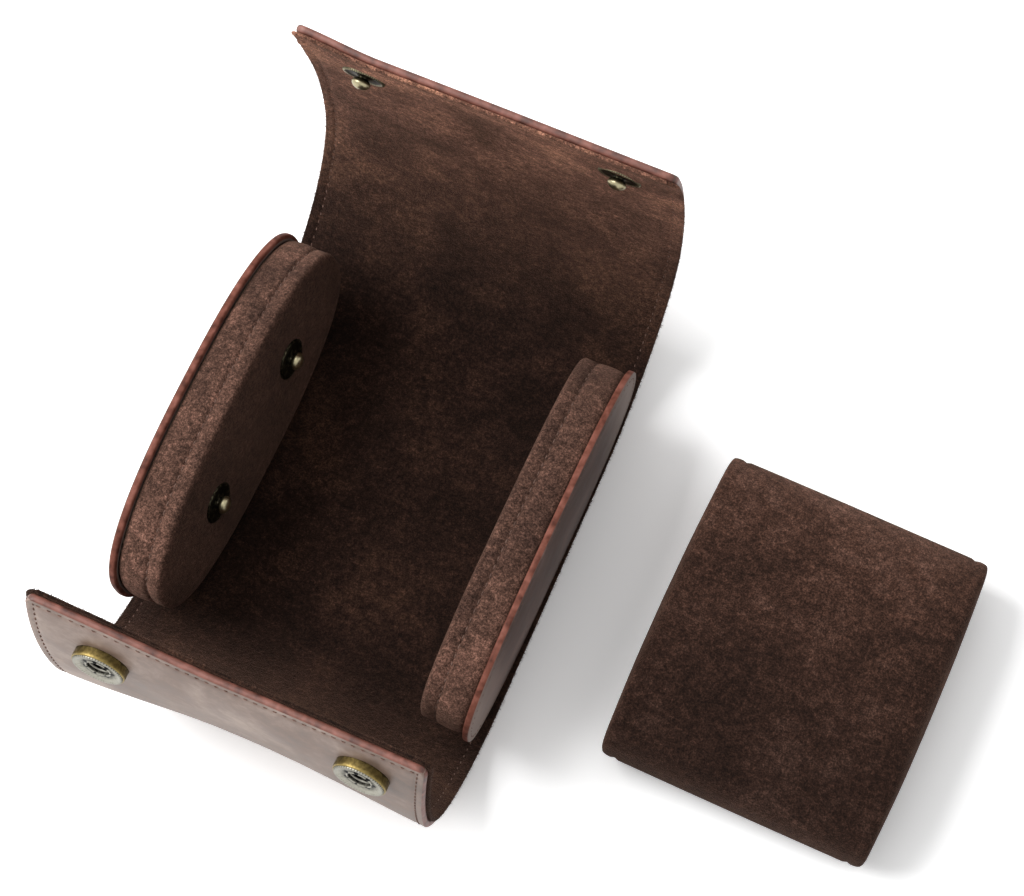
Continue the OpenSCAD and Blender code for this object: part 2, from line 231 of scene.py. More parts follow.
def pull_up_leather(name, deep, middle, pale, shine, rough, painted_sheen_ends=None, painted_sheen_flap=None):
    """Waxed leather with clouds of wear 34 mm across, rubs of 6 mm, and pores and creases under 1 mm. The
    attribute "rim" marks its stained edge. The next to last argument, (from, to), says how far out along y a
    disc is painted pale at its two ends, a painted sheen. The last, (from, to, tone), says where along the
    strip the flap's painted sheen ends, and the tone darkens the rest of the strip."""
    material, tree = new_material(name)
    place = rest_place(tree)
    clouds, rubbed, creases, soaked = (
        node(tree, "TexNoise", {"Vector": place, "Scale": 1 / size, "Detail": detail, "Roughness": harsh,
                                "Distortion": bent}, "Fac")
        for size, detail, harsh, bent in ((34, 5, 0.62, 0.5), (6, 6, 0.7, 0.3), (0.8, 4, 0.6, 0),
                                          (2.4, 4, 0.5, 0)))
    pores = node(tree, "TexVoronoi", {"Vector": place, "Scale": 1.5}, "Distance")
    wear = weighed(tree, clouds, 0.6, rubbed, 0.4)
    tone = node(tree, "ValToRGB", {"Fac": wear}, stops=[(0.36, deep), (0.5, middle), (0.64, pale)])
    along = node(tree, "SeparateXYZ", {"Vector": place}, "Y")
    # Painted sheen: the disc goes paler towards its two ends, where its curved leather catches the light.
    if painted_sheen_ends:
        out = node(tree, "Math", {0: along}, operation="ABSOLUTE")
        end_sheen = node(tree, "MapRange", {"Value": out, "From Min": painted_sheen_ends[0], "From Max": painted_sheen_ends[1],
                                       "To Max": PAINTED_SHEEN_SHARE}, interpolation_type="SMOOTHSTEP")
        tone = node(tree, "Mix", {0: end_sheen, 6: tone, 7: colour(PAINTED_SHEEN_COLOUR)}, **BETWEEN)
    # Painted sheen: the flap keeps the pale tone, and the rest of the strip is painted darker by the given
    # tone.
    if painted_sheen_flap:
        start, end, darkening = painted_sheen_flap
        off_flap_sheen = node(tree, "MapRange", {"Value": along, "From Min": start, "From Max": end},
                      interpolation_type="SMOOTHSTEP")
        dark = node(tree, "Mix", {0: 1.0, 6: tone, 7: darkening}, **TIMES)
        tone = node(tree, "Mix", {0: off_flap_sheen, 6: tone, 7: dark}, **BETWEEN)
    rim = node(tree, "Attribute", output="Fac", attribute_name="rim")
    waver = node(tree, "Math", {0: rubbed, 1: 0.5}, operation="SUBTRACT")
    ragged = weighed(tree, rim, 1.0, waver, 0.4)
    edge = node(tree, "ValToRGB", {"Fac": ragged}, stops=[(0.42, 0.0), (0.6, 1.0)])
    stain = node(tree, "ValToRGB", {"Fac": soaked}, stops=EDGE_STAIN)
    base = node(tree, "Mix", {0: edge, 6: tone, 7: stain}, **BETWEEN)
    height = weighed(tree, pores, 0.5, creases, 0.6)
    bump = node(tree, "Bump", {"Height": height, "Distance": 0.08 * MM, "Strength": 0.19})
    gloss = node(tree, "ValToRGB", {"Fac": rubbed}, stops=[(0.3, rough - 0.08), (0.7, rough + 0.12)])
    shader = node(tree, "BsdfPrincipled", {"Base Color": base, "Roughness": gloss, "Normal": bump,
                                           "Specular IOR Level": shine})
    node(tree, "OutputMaterial", {"Surface": shader})
    return material


# Where along the strip the flap's painted sheen ends, and the tone that darkens the rest.
FLAP_PAINTED_SHEEN = (-78.0, -40.0, (0.42, 0.35, 0.3, 1))
LEATHER_WRAP = pull_up_leather("waxed_pull_up_leather", "#5a473b", "#806a5e", "#ab978b", 0.6, 0.46,
                               painted_sheen_flap=FLAP_PAINTED_SHEEN)


def placed(name, data):
    """A new object in the scene."""
    obj = bpy.data.objects.new(name, data)
    bpy.context.scene.collection.objects.link(obj)
    return obj


def piece(name, points, faces, material, rest=None, rim=None):
    """A smooth mesh from points in millimetres, with the attributes that the materials read."""
    points = np.asarray(points, float)
    mesh = bpy.data.meshes.new(name)
    mesh.from_pydata((points * MM).tolist(), [], faces)
    mesh.polygons.foreach_set("use_smooth", [True] * len(mesh.polygons))
    still = (np.asarray(points if rest is None else rest, np.float32) * MM).astype(np.float32)
    mesh.attributes.new("rest", "FLOAT_VECTOR", "POINT").data.foreach_set("vector", still.ravel())
    if rim is not None:
        mesh.attributes.new("rim", "FLOAT", "POINT").data.foreach_set("value", np.asarray(rim, np.float32))
    mesh.materials.append(material)
    mesh.update()
    return placed(name, mesh)


def ring_faces(rings, around):
    """Quads between neighbouring rings of points, each ring around points long."""
    return [(r * around + i, r * around + (i + 1) % around,
             (r + 1) * around + (i + 1) % around, (r + 1) * around + i)
            for r in range(rings - 1) for i in range(around)]


def stations(start, stop, beyond):
    """Places along the strip: close together where an edge is sewn and rounded, wider between."""
    ends = [0, 0.03, 0.09, 0.18, 0.3, 0.45, 0.6, 0.8, 1.1, 1.4, 1.75, 2.0, 2.25, 2.6, 3.0, 3.6, 4.4, 5.4]
    count = int((stop - start) / STATION_STEP)
    if stop >= LID_LEN:
        return list(np.linspace(start, stop - END_ZONE, count)) + [stop + beyond - e for e in reversed(ends)]
    if start <= -FLAP_LEN:
        return [start - beyond + e for e in ends] + list(np.linspace(start + END_ZONE, stop, count))
    return list(np.linspace(start, stop, count))


def sewn_sheet(start, stop, outer, inner, beyond, shape):
    """A sheet of the strip between two places and two depths, as flat points and faces, with rounded edges
    that reach beyond the strip's own. shape(x, s, face) moves the outer (-1) and inner (+1) faces."""
    half_t, middle = (inner - outer) / 2, (inner + outer) / 2
    turn = min(EDGE_R, half_t)
    offsets = [turn, 0.8, 1.1, 1.4, 1.75, 2.0, 2.25, 2.6, 3.0, 3.6, 4.4, 6.0, 8.0]
    bends = (18, 40, 62, 90, 118, 140, 162)
    points, rings = [], stations(start, stop, beyond)
    for s in rings:
        half = half_width(s) + beyond
        end = min(LID_LEN - s, FLAP_LEN + s) + beyond
        share = 1 - min(1.0, end / turn)
        thick = half_t * max(EDGE_THIN, math.sqrt(max(0.0, 1 - share ** 2)))
        spread = np.linspace(SIDE_ZONE - half, half - SIDE_ZONE, INNER_COLUMNS)
        xs = np.concatenate([[-(half - o) for o in offsets], spread, [half - o for o in reversed(offsets)]])
        keep = thick / half_t
        top = np.column_stack([xs, np.full(len(xs), s), middle - thick + keep * shape(xs, s, -1)])
        low = np.column_stack([xs[::-1], np.full(len(xs), s), middle + thick + keep * shape(xs[::-1], s, 1)])
        for face, side in ((top, 1), (low, -1)):
            points.extend(face)
            for degrees in bends:
                rad = math.radians(degrees)
                reach = half - turn * (1 - math.sin(rad))
                points.append((side * reach, s, middle - side * thick * math.cos(rad)))
    around = 2 * (2 * len(offsets) + INNER_COLUMNS) + 2 * len(bends)
    faces = [tuple(reversed(face)) for face in ring_faces(len(rings), around)]
    if start <= -FLAP_LEN:
        faces.append(tuple(range(around)))
    if stop >= LID_LEN:
        faces.append(tuple(reversed(range((len(rings) - 1) * around, len(rings) * around))))
    return np.array(points), faces


def groove(x, s):
    """How far a point lies in the sewn groove along the strip's edge, from 0 to 1."""
    return np.exp(-((border(x, s) - SEW_IN) / GROOVE_WIDE) ** 2)


def leather_shape(x, s, face):
    if face > 0:
        return np.zeros(len(x))
    return GROOVE_DEEP * groove(x, s)


# -------------------------------- the wrap: its suede lining
# Split cowhide with a raised nap, 0.8 mm thick, glued to the leather and left a little proud of its edge.
# The lining is painted dark on the floor of the case, as painted shade, and lighter towards the lid's edge,
# as painted light. Loose fibres stand out all along the cut.
NAP_OUT = 0.7
NAP_ROUGH = 0.1
LINING_PUFF = 0.25
LINING_GROOVE_DEEP = 0.25
LID_CREASE_IN = 12.5
LID_CREASE_SLANT = 0.08
LID_CREASE_WIDE = 1.6
LID_CREASE_HIGH = 0.4
FRINGE_PER_MM = 9
FRINGE_WIDE = 0.14
FRINGE_LONG = (0.15, 0.6)
FRINGE_LEAN = 0.5
FRINGE_RISE = 0.35
FRINGE_ROOT_IN = 0.12


def suede(name, deep, middle, light, glow, painted_light_and_shade=None, painted_face_shade=1.0):
    """Nap in brushed patches of 24 mm and strokes of 6 mm, over tufts of 1.3 mm and finer fibres. It has no
    shine, but a soft glow where the nap is seen from the side. The optional ramp, (from y, to y, first tone,
    last tone), paints light and shade along y, and the face shade darkens what the attribute "rim" marks, as
    painted shade."""
    material, tree = new_material(name)
    place = rest_place(tree)
    drawn = node(tree, "VectorMath", {0: place, 1: (1, 1.6, 1)}, operation="MULTIPLY")
    patches, strokes, tufts, fibres = (
        node(tree, "TexNoise", {"Vector": where, "Scale": 1 / size, "Detail": detail, "Roughness": harsh,
                                "Distortion": bent}, "Fac")
        for where, size, detail, harsh, bent in ((place, 24, 4, 0.6, 0.6), (drawn, 6, 5, 0.7, 0.8),
                                                  (place, 1.3, 4, 0.8, 0), (place, 0.42, 3, 0.8, 0)))
    nap = weighed(tree, patches, 0.55, strokes, 0.45)
    tone = node(tree, "ValToRGB", {"Fac": nap}, stops=[(0.38, deep), (0.5, middle), (0.62, light)])
    speckle = node(tree, "ValToRGB", {"Fac": fibres}, stops=[(0.36, 0.18), (0.5, 0.43), (0.64, 0.9)])
    tufted = node(tree, "ValToRGB", {"Fac": tufts}, stops=[(0.36, 0.27), (0.5, 0.5), (0.64, 0.9)])
    grained = node(tree, "Mix", {0: 1.0, 6: speckle, 7: tufted}, **TIMES)
    grained = node(tree, "Mix", {0: 1.0, 6: grained, 7: (4.2, 4.2, 4.2, 1)}, **TIMES)
    base = node(tree, "Mix", {0: 1.0, 6: tone, 7: grained}, **TIMES)
    # Painted light and shade: the colour is scaled along y, from the first tone to the last.
    if painted_light_and_shade:
        start, end, first, last = painted_light_and_shade
        along = node(tree, "SeparateXYZ", {"Vector": place}, "Y")
        rise = node(tree, "MapRange", {"Value": along, "From Min": start, "From Max": end, "To Min": first,
                                       "To Max": last}, interpolation_type="SMOOTHSTEP")
        base = node(tree, "Mix", {0: 1.0, 6: base, 7: rise}, **TIMES)
    # Painted shade: what "rim" marks is darkened to the face shade.
    if painted_face_shade < 1:
        face = node(tree, "Attribute", output="Fac", attribute_name="rim")
        shaded = node(tree, "Mix", {0: 1.0, 6: base, 7: (painted_face_shade, painted_face_shade, painted_face_shade, 1)}, **TIMES)
        base = node(tree, "Mix", {0: face, 6: base, 7: shaded}, **BETWEEN)
    height = weighed(tree, fibres, 1.0, tufts, 1.4)
    bump = node(tree, "Bump", {"Height": height, "Distance": 0.5 * MM, "Strength": 0.9})
    shader = node(tree, "BsdfPrincipled", {"Base Color": base, "Roughness": 0.95, "Specular IOR Level": 0.1,
                                           "Sheen Weight": glow, "Sheen Roughness": 0.4,
                                           "Sheen Tint": colour("#a98472"), "Normal": bump})
    node(tree, "OutputMaterial", {"Surface": shader})
    return material


# Painted shade on the case's floor, at a fifth of the colour, and painted light towards the lid's edge, up to
# 2.2 times.
LINING_PAINTED_LIGHT_AND_SHADE = (60.0, 158.0, 0.2, 2.2)
SUEDE_LINING = suede("napped_suede_lining", "#3b271e", "#593d32", "#7e5947", 0.4, LINING_PAINTED_LIGHT_AND_SHADE)
SUEDE_EDGE = suede("napped_suede_cut_edge", "#322520", "#47342c", "#60453c", 0.25)


def lining_shape(x, s, face):
    """The lining's inner face: puffed between its seams, creased along the lid's studs, rough at its edge."""
    if face < 0:
        return np.zeros(len(x))
    puff = smooth_step(border(x, s), SEW_IN, 9)
    crease = np.exp(-((s - (LID_LEN - LID_CREASE_IN - LID_CREASE_SLANT * x)) / LID_CREASE_WIDE) ** 2)
    rough = NAP_ROUGH * ripple(x / 1.4, s / 1.4, 13) * smooth_step(-border(x, s), -2.0, 0)
    soft = LINING_PUFF * puff * (1 + ripple(x / 9, s / 9, 11))
    return soft - LINING_GROOVE_DEEP * groove(x, s) + LID_CREASE_HIGH * crease + rough


def nap_fringe(name, start, stop):
    """Loose fibres of the suede, standing out all along its cut edge between two places."""
    rng = np.random.default_rng(61)
    sides = int((stop - start) * FRINGE_PER_MM)
    s = rng.uniform(start, stop, 2 * sides)
    side = np.where(np.arange(2 * sides) < sides, -1.0, 1.0)
    proud = NAP_OUT - FRINGE_ROOT_IN
    reach = WRAP_W / 2 + proud
    root = np.column_stack([side * reach, s, np.zeros(len(s))])
    away = np.column_stack([side, np.zeros(len(s)), np.zeros(len(s))])
    across = int(WRAP_W * FRINGE_PER_MM)
    for end, way in ((LID_LEN, 1.0), (-FLAP_LEN, -1.0)):
        if start <= end <= stop:
            x = rng.uniform(-WRAP_W / 2 + 1, WRAP_W / 2 - 1, across)
            row = np.column_stack([x, np.full(across, end + way * proud), np.zeros(across)])
            root = np.vstack([root, row])
            away = np.vstack([away, np.tile((0.0, way, 0.0), (across, 1))])
    count = len(root)
    root[:, 2] = rng.uniform(LEATHER_T + 0.15, WRAP_T - 0.1, count)
    long = rng.uniform(*FRINGE_LONG, count)[:, None]
    lean = rng.normal(0, FRINGE_LEAN, (count, 3)) + (0, 0, FRINGE_RISE)
    tip = root + (away + lean) * long
    width = np.column_stack([away[:, 1], away[:, 0], np.zeros(count)]) * FRINGE_WIDE / 2
    flat = np.stack([root - width, root + width, tip], axis=1).reshape(-1, 3)
    faces = [(3 * k, 3 * k + 1, 3 * k + 2) for k in range(count)]
    return piece(name, fold_up(flat), faces, SUEDE_EDGE, rest=flat)


# -------------------------------- the wrap: its stitches
# Waxed polyester thread in a running lockstitch, seen from both sides. Each stitch is a short rounded thread
# that dives into the leather at both ends, and leans a little as machine stitches do.
STITCH_PITCH = 2.2
STITCH_LONG = 1.5
STITCH_R = 0.13
STITCH_LEAN = 8.0
STITCH_SIDES = 7
STITCH_PROUD = 0.45 * STITCH_R
STITCH_DIVE = 0.42
NEARBY = 0.2
THREAD, thread_tree = new_material("waxed_polyester_thread")
twist = node(thread_tree, "TexNoise", {"Vector": rest_place(thread_tree), "Scale": 1 / 0.5}, "Fac")
thread_tone = node(thread_tree, "ValToRGB", {"Fac": twist}, stops=[(0.3, "#533c35"), (0.7, "#8d7266")])
thread_shader = node(thread_tree, "BsdfPrincipled", {"Base Color": thread_tone, "Roughness": 0.8,
                                                     "Specular IOR Level": 0.15})
node(thread_tree, "OutputMaterial", {"Surface": thread_shader})


def unit(vectors):
    return vectors / np.linalg.norm(vectors, axis=1, keepdims=True)


def stitches(name, centres, tangents, normals, lean=STITCH_LEAN):
    """One mesh of stitches, each at a centre, along a tangent, standing out along a normal."""
    tangents = unit(tangents)
    normals = unit(normals)
    across = unit(np.cross(normals, tangents))
    turn = math.radians(lean)
    tangents, across = (tangents * math.cos(turn) + across * math.sin(turn),
                        across * math.cos(turn) - tangents * math.sin(turn))
    ring = []
    sides = STITCH_SIDES
    steps = (-1.0, -0.82, -0.4, 0.0, 0.4, 0.82, 1.0)
    for a in steps:
        radius = STITCH_R * math.sqrt(max(0.02, 1 - a ** 6))
        for i in range(sides):
            turn = 2 * math.pi * i / sides
            ring.append((a * STITCH_LONG / 2, STITCH_PROUD - STITCH_DIVE * a * a + radius * math.cos(turn),
                         radius * math.sin(turn)))
    ring = np.array(ring)
    points = (centres[:, None] + tangents[:, None] * ring[None, :, :1] + normals[:, None] * ring[None, :, 1:2]
              + across[:, None] * ring[None, :, 2:])
    last = (len(steps) - 1) * sides
    one = ring_faces(len(steps), sides) + [tuple(reversed(range(sides))), tuple(range(last, last + sides))]
    faces = [tuple(k * len(ring) + v for v in face) for k in range(len(centres)) for face in one]
    return piece(name, points.reshape(-1, 3), faces, THREAD)


def sewn_line(start, stop):
    """The stitches' middles and directions on the flat strip, between two places along it."""
    places = []
    inset = WRAP_W / 2 - SEW_IN
    first, last = -FLAP_LEN + SEW_IN, LID_LEN - SEW_IN
    count = int((last - first) / STITCH_PITCH)
    for k in range(count + 1):
        s = first + (last - first) * k / count
        if start <= s < stop:
            places += [(-inset, s, 0, 1), (inset, s, 0, 1)]
    across = int(2 * inset / STITCH_PITCH)
    for s in (first, last):
        if start <= s < stop:
            places += [(-inset + 2 * inset * (k + 0.5) / across, s, 1, 0) for k in range(across)]
    return np.array(places)


def sew_strip(name, start, stop, depth, outward):
    """Stitches on one face of the strip. outward is -1 on the leather and 1 on the lining."""
    line = sewn_line(start, stop)
    flat = np.column_stack([line[:, 0], line[:, 1], np.full(len(line), depth)])
    step = np.column_stack([line[:, 2], line[:, 3], np.zeros(len(line))]) * NEARBY
    centres = fold_up(flat)
    tangents = fold_up(flat + step) - centres
    normals = fold_up(flat + (0, 0, outward * NEARBY)) - centres
    return stitches(name, centres, tangents, normals)


# -------------------------------- the wrap: sewn up
# Leather, lining and threads, glued and sewn into one strip. It is made here in four lengths that meet where
# nothing bends, and each length spans one fold.
BEND_ROOM = 12.0
THREAD_OUT_AT = 0.12
THREAD_IN_AT = WRAP_T - 0.3
STAIN_OVER = 0.6
STAIN_FROM = 0.3
STAIN_FADE = 0.55
MID_LID = (LID_FOOT + LID_FOLD) / 2
MID_FLAP = (FLAP_FOOT + FLAP_FOLD) / 2
LENGTHS = [
    ("flap_top", -FLAP_LEN, -MID_FLAP, FLAP_FOLD, -1, "flap_lower", "flap_upper",
     ["flap_leather_upper"], ["flap_lining_upper"]),
    ("flap_foot", -MID_FLAP, 0.0, FLAP_FOOT, -1, "base", "flap_lower",
     ["flap_leather_lower"], ["flap_lining_lower"]),
    ("lid_foot", 0.0, MID_LID, LID_FOOT, 1, "base", "lid_lower",
     ["base_leather", "lid_leather_lower"], ["base_lining", "lid_lining_lower"]),
    ("lid_top", MID_LID, LID_LEN, LID_FOLD, 1, "lid_lower", "lid_upper",
     ["lid_leather_upper"], ["lid_lining_upper"]),
]


def bend_over(obj, fold, side):
    """obj spans a fold in the flap (side -1) or the lid (1). The fold's two ends are found, but nothing bends
    obj:
    its place is baked into its mesh.
    """
    start = fold_up([(0, side * (fold - BEND_ROOM), WRAP_T)])[0] * MM
    end = fold_up([(0, side * (fold + BEND_ROOM), WRAP_T)])[0] * MM
    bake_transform(obj)


for part, start, stop, fold, side, near, far, leathers, linings in LENGTHS:
    flat, faces = sewn_sheet(start, stop, 0.0, LEATHER_T, 0.0, leather_shape)
    inside = np.clip(border(flat[:, 0], flat[:, 1]), 0, None)
    on_edge = (flat[:, 2] > STAIN_FROM) & (inside < STAIN_OVER)
    edge = np.where(on_edge, 1.0, np.exp(-(inside / STAIN_FADE) ** 2))
    leather = piece(part + "_leather", fold_up(flat), faces, LEATHER_WRAP, rest=flat, rim=edge)
    flat, faces = sewn_sheet(start, stop, LEATHER_T, WRAP_T, NAP_OUT, lining_shape)
    lining = piece(part + "_lining", fold_up(flat), faces, SUEDE_LINING, rest=flat)
    outer_thread = sew_strip(part + "_thread_out", start, stop, THREAD_OUT_AT, -1)
    inner_thread = sew_strip(part + "_thread_in", start, stop, THREAD_IN_AT, 1)
    fringe = nap_fringe(part + "_fringe", start, stop)
    for obj, slot in ((leather, "wrap_leather"), (lining, "lining_suede"), (outer_thread, "wrap_leather"),
                      (inner_thread, "lining_suede"), (fringe, "lining_suede")):
        bend_over(obj, fold, side)
    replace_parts(leather, *leathers)
    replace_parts(lining, *linings)


# -------------------------------- the end caps: their outline
# Each cap is a disc of leather with a padded drum of suede behind it, glued and sewn to the strip's floor.
# Its outline is a rounded oblong, seated a little way into the soft lining. The left cap leans out and the
# right one stands upright.
CAP_LEN = 95.6
CAP_H = 41.6
CAP_POWER = 2.5
CAP_SEAT = 0.8
CAP_X = {-1: WRAP_W / 2 - 2.9, 1: WRAP_W / 2 - 0.1}
CAP_LEAN = {-1: math.radians(9.2), 1: math.radians(0.2)}
CAP_TURN = math.radians(-0.9)
CAP_MID = CAP_H / 2 - CAP_SEAT
AROUND = 220


def rounded(a, b, power, count=AROUND):
    """Evenly spaced points round an oblong, and the directions out of it."""
    t = np.linspace(0, 2 * math.pi, 4001)[:-1]
    c, s = np.cos(t), np.sin(t)
    round_a, round_b = (np.sign(v) * np.abs(v) ** (2 / power) for v in (c, s))
    outline = np.column_stack([a * round_a, b * round_b])
    closed = np.vstack([outline, outline[:1]])
    walk = np.concatenate([[0], np.cumsum(np.linalg.norm(np.diff(closed, axis=0), axis=1))])
    want = np.linspace(0, walk[-1], count + 1)[:-1]
    points = np.column_stack([np.interp(want, walk, closed[:, k]) for k in (0, 1)])
    tangent = np.roll(points, -1, axis=0) - np.roll(points, 1, axis=0)
    return points, unit(np.column_stack([tangent[:, 1], -tangent[:, 0]]))


CAP_LINE, CAP_OUT = rounded(CAP_LEN / 2, CAP_H / 2, CAP_POWER)


def cap_place(side, y, z, depth):
    """From a cap's own y, height over its middle and depth from its outer face, to the case."""
    high = z + CAP_MID
    lean = CAP_LEAN[side]
    x = side * (high * math.sin(lean) - depth * math.cos(lean))
    turned_x = side * CAP_X[side] + x * math.cos(CAP_TURN) - y * math.sin(CAP_TURN)
    turned_y = x * math.sin(CAP_TURN) + y * math.cos(CAP_TURN)
    return np.column_stack([turned_x, turned_y, WRAP_T + depth * math.sin(lean) + high * math.cos(lean)])


def cap_layer(side, profile, shares, face_depth):
    """One layer of a cap, as rings of points: the outline stepped in and at a depth for each of the profile,
    then smaller and smaller shares of it, at face_depth(y, z, share)."""
    rings = []
    for step, depth in profile:
        ring = CAP_LINE - CAP_OUT * step
        rings.append(cap_place(side, ring[:, 0], ring[:, 1], np.full(AROUND, depth)))
    for share in shares:
        ring = (CAP_LINE - CAP_OUT * profile[-1][0]) * share
        rings.append(cap_place(side, ring[:, 0], ring[:, 1], face_depth(ring[:, 0], ring[:, 1], share)))
    return rings


def cap_faces(rings, flipped):
    """Faces over a layer's rings and its middle, turned over when flipped."""
    last = (len(rings) - 1) * AROUND
    faces = ring_faces(len(rings), AROUND) + [tuple(range(last, last + AROUND))]
    return [tuple(reversed(face)) for face in faces] if flipped else faces


def cap_stitches(name, side, line, depth, outward, lean, ahead):
    """Stitches round a cap, on a line inside its outline. They stand out from the outline when outward is 1
    and from the disc's face when it is 0. Their direction is read that many points ahead on the line."""
    count = int(np.linalg.norm(np.diff(CAP_LINE if outward else line, axis=0), axis=1).sum() / STITCH_PITCH)
    pick = np.linspace(0, AROUND, count, endpoint=False)
    index = np.arange(AROUND + 1)
    loop = np.vstack([line, line[:1]])
    outs = np.vstack([CAP_OUT, CAP_OUT[:1]]) * outward
    y, z = (np.interp(pick, index, loop[:, k]) for k in (0, 1))
    next_y, next_z = (np.interp(pick + ahead, index, loop[:, k]) for k in (0, 1))
    out_y, out_z = (np.interp(pick, index, outs[:, k]) for k in (0, 1))
    deep = np.full(count, depth)
    centres = cap_place(side, y, z, deep)
    tangents = cap_place(side, next_y, next_z, deep) - centres
    normals = cap_place(side, y + out_y, z + out_z, deep - (1 - outward)) - centres
    return stitches(name, centres, tangents, normals, lean)


# -------------------------------- the end caps: leather discs
# Leather as on the wrap, cut to the oblong, with the same stained and burnished edge. The discs are darker
# and duller than the wrap, and painted pale at their two ends, a painted sheen. A row of stitches runs just
# inside the edge.
LEATHER_DISC = pull_up_leather("waxed_pull_up_leather_dark", "#473934", "#5c4c47", "#79655f", 0.1, 0.55,
                               painted_sheen_ends=(24.0, 46.0))
DISC_SEW_IN = 1.5
DISC_THREAD_AT = 0.14
DISC_DOME = 0.9
DISC_WAVE = 0.12
DISC_BACK = [(1.6, LEATHER_T), (0.4, LEATHER_T), (0.12, LEATHER_T - 0.15), (0.0, LEATHER_T - 0.45)]
DISC_FRONT = [(0.0, 0.5), (0.13, 0.18), (0.45, 0.0), (0.9, 0.02), (1.2, 0.1), (1.5, 0.16), (1.8, 0.1),
              (2.2, 0.0), (3.0, -0.02)]
DISC_SHARES = [0.97, 0.93, 0.86, 0.76, 0.64, 0.5, 0.35, 0.2, 0.08]


def leather_disc(side, name):
    def face_depth(y, z, share):
        return -DISC_DOME * (1 - share ** 2) + DISC_WAVE * ripple(y / 17, z / 15, 21 + side) * (1 - share)

    profile = DISC_BACK + DISC_FRONT
    rings = cap_layer(side, profile, DISC_SHARES, face_depth)
    rim = [smooth_step(depth, 0.15, 0.5) if step < 1 else 0.0 for step, depth in profile]
    rim += [0.0] * len(DISC_SHARES)
    faces = cap_faces(rings, side > 0)
    disc = piece(name, np.vstack(rings), faces, LEATHER_DISC, rim=np.repeat(rim, AROUND))
    line = CAP_LINE - CAP_OUT * DISC_SEW_IN
    sewn = cap_stitches(name + "_thread", side, line, DISC_THREAD_AT, 0, STITCH_LEAN, 0.2)
    for obj in (disc, sewn):
        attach(obj, "base")
    return disc


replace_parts(leather_disc(-1, "cap_disc_left"), "cap_leather_left")
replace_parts(leather_disc(1, "cap_disc_right"), "cap_leather_right")


# -------------------------------- the end caps: padded suede drums
# A band of suede and a suede face over foam and board. The band is sewn to the face by a seam just round
# the corner, and tucks in dark against the leather disc. The studs pull dimples into the left one.
# The drum's face is painted at 0.45 of its colour, a painted shade, as it is turned away from the light.
SUEDE_CAPS = suede("napped_suede_over_padding", "#433029", "#5a4137", "#735347", 0.45, painted_face_shade=0.45)
DRUM_DEPTH = 11.2
DRUM_STEP = 1.2
CAP_DEPTH = LEATHER_T + DRUM_DEPTH
SEAM_BACK = 3.8
SEAM_AT = CAP_DEPTH - SEAM_BACK
SEAM_SUNK = 0.45
DRUM_BACK = [(1.3, -0.2), (0.7, 0.1), (0.25, 0.6), (0.0, 1.4), (-0.15, 2.8), (-0.15, 4.4)]
DRUM_SEAM = [(0.0, -1.1), (0.2, -0.4), (0.62, -0.08), (0.62, 0.08), (0.15, 0.4)]
DRUM_CORNER = [(0.1, -0.85), (0.35, -0.4), (0.8, -0.08), (1.5, 0.12), (2.6, 0.22)]
ON_FACE = [0.4, 0.8, 1.0]
DRUM_RINGS_IN = 26
DRUM_PUFF = 0.25
DRUM_DOME = 0.5
DRUM_UNEVEN = 0.15
DRUM_RUFFLE = 0.072
DRUM_MIDDLE_Z = 20.0
STUD_Y = (-19.5, 19.5)
DIMPLE_R = 7.5
DIMPLE_DEEP = 0.1


def padded_drum(side, name):
    def face_depth(y, z, share):
        puff = DRUM_PUFF + DRUM_DOME * (1 - share ** 2)
        pinch = 0
        if side < 0:
            for stud in STUD_Y:
                pinch = pinch + np.exp(-((y - stud) ** 2 + z ** 2) / DIMPLE_R ** 2)
        pinch = np.clip(pinch, 0, 1)
        uneven = DRUM_UNEVEN * ripple(y / 8, z / 8, 31 + side) * (1 - share) ** 0.5
        return CAP_DEPTH + puff * (1 - pinch) + uneven - DIMPLE_DEEP * pinch

    profile = [(DRUM_STEP + step, start + depth)
               for start, part in ((LEATHER_T, DRUM_BACK), (SEAM_AT, DRUM_SEAM), (CAP_DEPTH, DRUM_CORNER))
               for step, depth in part]
    rings = cap_layer(side, profile, np.linspace(0.98, 0.06, DRUM_RINGS_IN), face_depth)
    points = np.vstack(rings)
    ruffle = ripple(points[:, 1] / 5, points[:, 2] / 5 + points[:, 0] / 4, 41)
    points[:, 2] += DRUM_RUFFLE * ruffle * np.sign(points[:, 2] - DRUM_MIDDLE_Z)
    # The share of painted shade: none on the band, all of it on the face.
    on_face = [0.0] * (len(profile) - len(ON_FACE)) + ON_FACE + [1.0] * DRUM_RINGS_IN
    faces = cap_faces(rings, side < 0)
    drum = piece(name, points, faces, SUEDE_CAPS, rim=np.repeat(on_face, AROUND))
    line = CAP_LINE - CAP_OUT * (DRUM_STEP + SEAM_SUNK)
    sewn = cap_stitches(name + "_thread", side, line, SEAM_AT, 1, 0.0, 0.3)
    for obj in (drum, sewn):
        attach(obj, "base")
    return drum


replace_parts(padded_drum(-1, "cap_drum_left"), "cap_band_left", "cap_face_left")
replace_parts(padded_drum(1, "cap_drum_right"), "cap_band_right", "cap_face_right")


